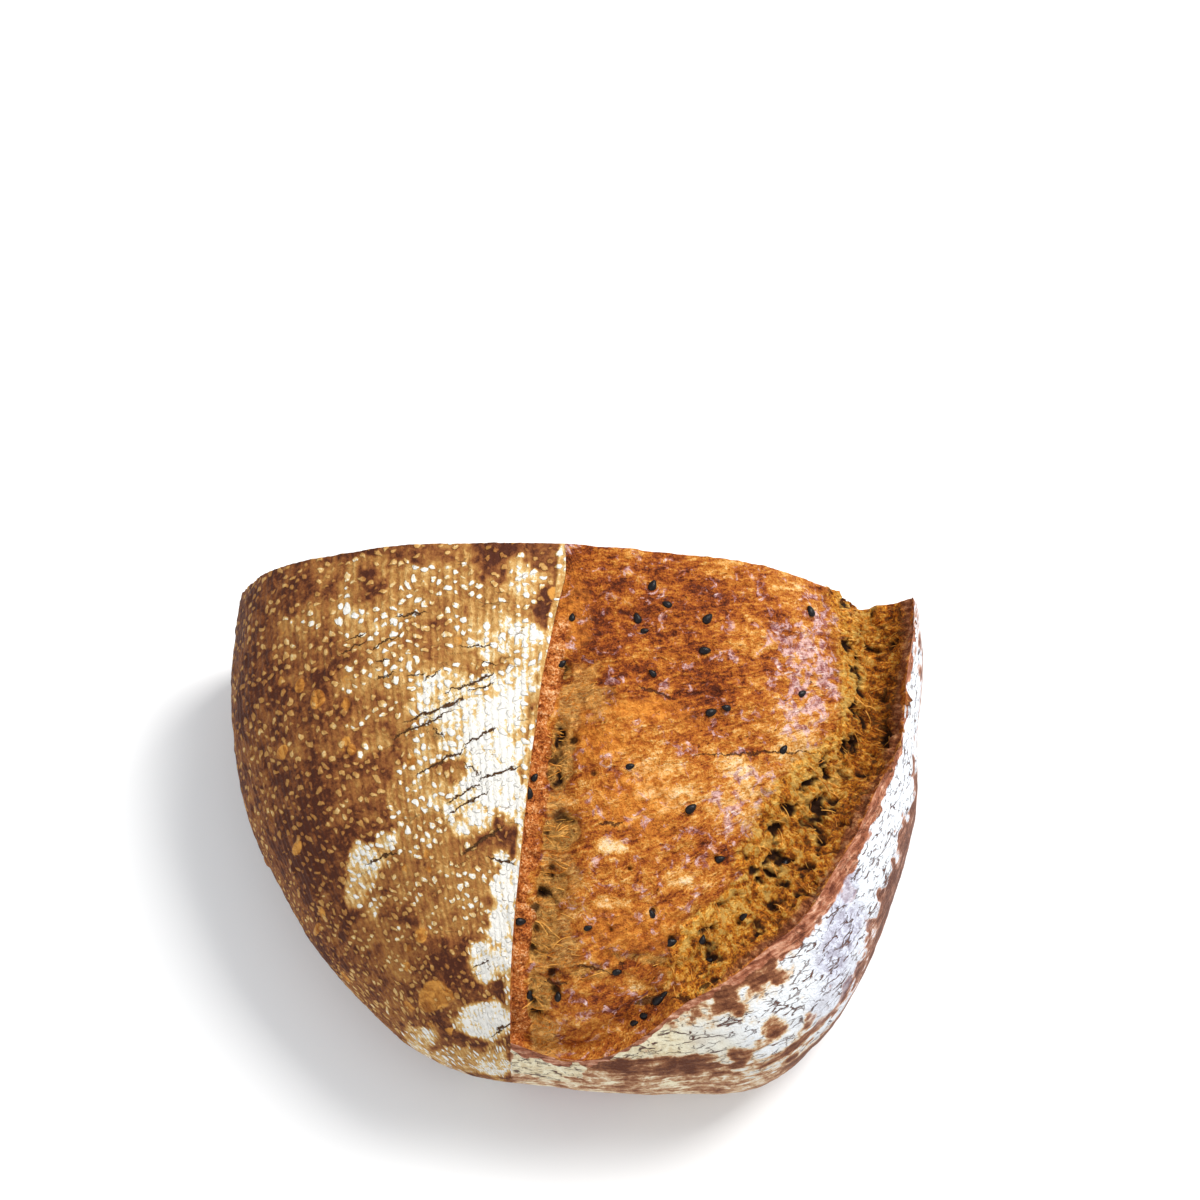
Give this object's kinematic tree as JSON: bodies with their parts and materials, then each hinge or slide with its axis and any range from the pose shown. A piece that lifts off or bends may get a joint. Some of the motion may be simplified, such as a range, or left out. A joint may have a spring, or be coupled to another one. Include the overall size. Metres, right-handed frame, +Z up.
{
  "type": "half sourdough loaf",
  "caption": "Oval rustic bread loaf cut in half across its width, with a scored, lifted ear, floured crust and open crumb on the cut face.",
  "frame": {"origin": "middle of the loaf's box, on the surface that its base rests on", "axes": "+X across the loaf, along the cut, towards the side where the ear stands; +Y towards the cut face, with the loaf's end at -Y; +Z up, out of the crust's crown"},
  "size_m": [0.1806, 0.1236, 0.0827],
  "materials": {
    "crust": "matt, stands in for baked crust, flour and crumb"
  },
  "bodies": {
    "root": {"loaf": "crust"}
  },
  "joints": []
}
